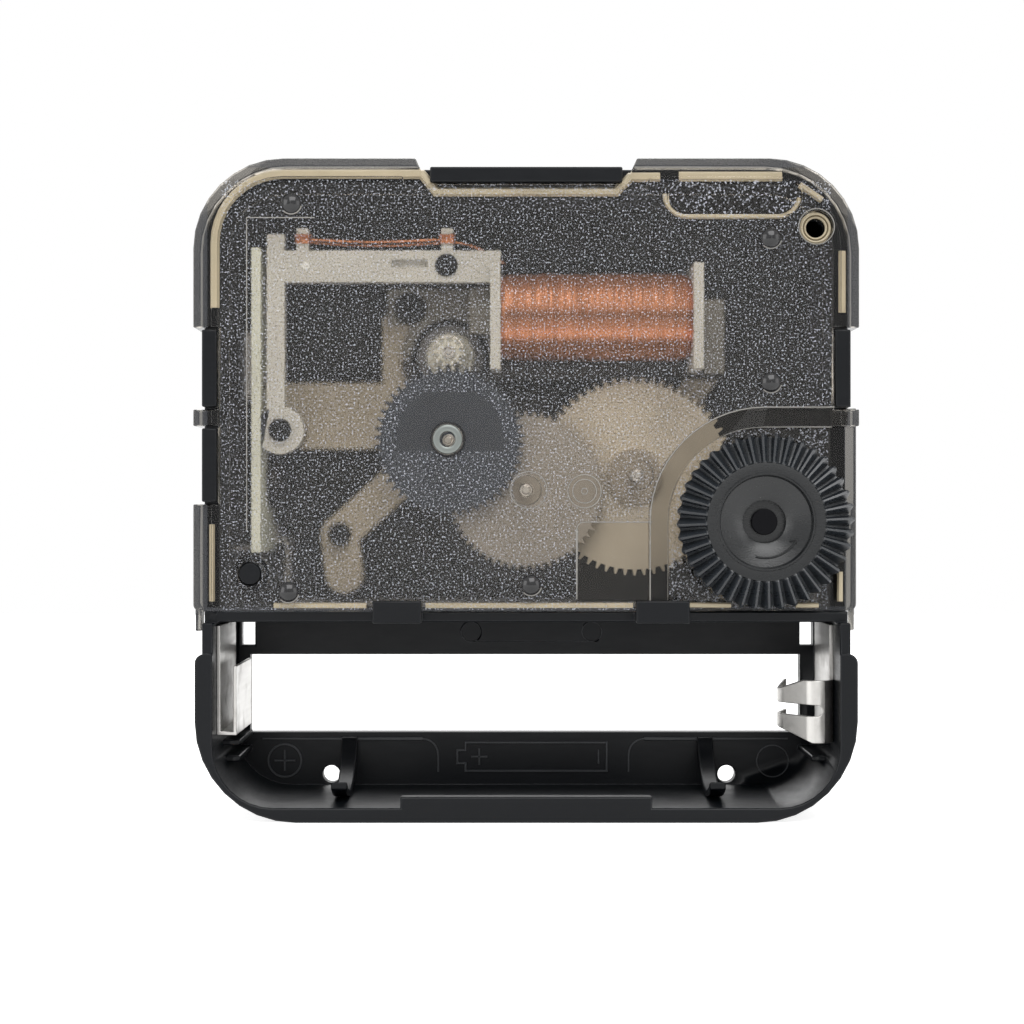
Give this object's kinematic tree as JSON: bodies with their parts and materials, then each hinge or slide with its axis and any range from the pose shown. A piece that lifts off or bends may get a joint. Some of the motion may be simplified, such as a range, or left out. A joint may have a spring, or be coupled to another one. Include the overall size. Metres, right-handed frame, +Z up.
{
  "type": "quartz clock movement",
  "caption": "Square battery clock movement with smoky clear back, gear train, coil, setting knob, cell bay and threaded hand shaft that fits through a dial.",
  "frame": {"origin": "on the hand axis, at the case face that rests against the back of the dial", "axes": "-Y along the hand shaft towards the viewer of the clock, +Y out of the pictured back, +Z up with the battery bay at the bottom"},
  "size_m": [0.0562, 0.0294, 0.056],
  "materials": {
    "black_case": "black moulded plastic, satin gloss",
    "smoky_cover": "smoky clear plastic with a fine spark grain",
    "black_knob": "black moulded plastic, fine satin",
    "cream_plastic": "cream acetal",
    "plate_plastic": "brownish cream moulded plastic",
    "bobbin_plastic": "pale grey moulded plastic",
    "blue_grey_plastic": "dark blue-grey acetal",
    "pale_plastic": "pale translucent acetal",
    "black_acetal": "black acetal",
    "copper_wire": "enamelled copper wire",
    "core_iron": "soft iron sheet",
    "stator_iron": "blackened soft iron sheet",
    "arbor_steel": "ground steel",
    "magnet": "sintered magnet",
    "bushing_brass": "turned brass",
    "board": "pale laminate board",
    "chip_resin": "black potting resin",
    "contact_nickel": "nickel plated spring sheet",
    "solder": "soft solder"
  },
  "bodies": {
    "case": {"front_case": "black_case", "back_cover": "smoky_cover", "threaded_bushing": "bushing_brass", "middle_plate": "plate_plastic", "coil_bobbin": "bobbin_plastic", "coil_winding": "copper_wire", "coil_core": "core_iron", "coil_leads": "copper_wire", "upper_stator": "core_iron", "lower_stator": "stator_iron", "circuit_board": "board", "control_chip": "chip_resin", "quartz_crystal": "contact_nickel", "solder_joints": "solder", "positive_contact": "contact_nickel", "spring_contact": "contact_nickel", "return_strip": "contact_nickel"},
    "rotor": {"rotor_magnet": "magnet", "rotor_pinion": "pale_plastic", "rotor_arbor": "arbor_steel"},
    "intermediate": {"intermediate_wheel": "blue_grey_plastic", "intermediate_arbor": "arbor_steel"},
    "seconds": {"seconds_wheel": "pale_plastic", "seconds_arbor": "arbor_steel"},
    "third": {"third_wheel": "cream_plastic", "third_arbor": "arbor_steel"},
    "centre": {"centre_wheel": "black_acetal"},
    "minute_shaft": {"minute_shaft": "black_acetal"},
    "minute_wheel": {"minute_wheel": "black_acetal"},
    "hour": {"hour_wheel": "black_acetal"},
    "setting": {"setting_knob": "black_knob", "setting_shaft": "black_acetal"}
  },
  "joints": [
    {"name": "seconds_spin", "type": "hinge", "parent": "case", "child": "seconds", "pos_m": [0, 0.008, 0], "axis": [0, 1, 0], "continuous": true},
    {"name": "intermediate_spin", "type": "hinge", "parent": "case", "child": "intermediate", "pos_m": [0.00661, 0.008, 0.00426], "axis": [0, 1, 0], "continuous": true},
    {"name": "rotor_spin", "type": "hinge", "parent": "case", "child": "rotor", "pos_m": [0.00661, 0.006, 0.0118], "axis": [0, 1, 0], "continuous": true},
    {"name": "third_spin", "type": "hinge", "parent": "case", "child": "third", "pos_m": [-0.00951, 0.007, 0.0013], "axis": [0, 1, 0], "continuous": true},
    {"name": "centre_spin", "type": "hinge", "parent": "case", "child": "centre", "pos_m": [0, 0.004, 0], "axis": [0, 1, 0], "continuous": true},
    {"name": "minute_wheel_spin", "type": "hinge", "parent": "case", "child": "minute_wheel", "pos_m": [-0.00951, 0.003, 0.0013], "axis": [0, 1, 0], "continuous": true},
    {"name": "minute_shaft_spin", "type": "hinge", "parent": "case", "child": "minute_shaft", "pos_m": [0, 0.003, 0], "axis": [0, 1, 0], "continuous": true},
    {"name": "hour_spin", "type": "hinge", "parent": "case", "child": "hour", "pos_m": [0, 0.002, 0], "axis": [0, 1, 0], "continuous": true},
    {"name": "setting_spin", "type": "hinge", "parent": "case", "child": "setting", "pos_m": [-0.02006, 0.008, -0.00268], "axis": [0, 1, 0], "continuous": true}
  ],
  "couplings": [
    {"joint": "intermediate_spin", "follows": "seconds_spin", "ratio": -6},
    {"joint": "rotor_spin", "follows": "seconds_spin", "ratio": 30},
    {"joint": "third_spin", "follows": "seconds_spin", "ratio": -0.125},
    {"joint": "centre_spin", "follows": "seconds_spin", "ratio": 0.016667},
    {"joint": "minute_shaft_spin", "follows": "minute_wheel_spin", "ratio": -4},
    {"joint": "hour_spin", "follows": "minute_wheel_spin", "ratio": -0.33333},
    {"joint": "setting_spin", "follows": "minute_wheel_spin", "ratio": -2.1333}
  ]
}
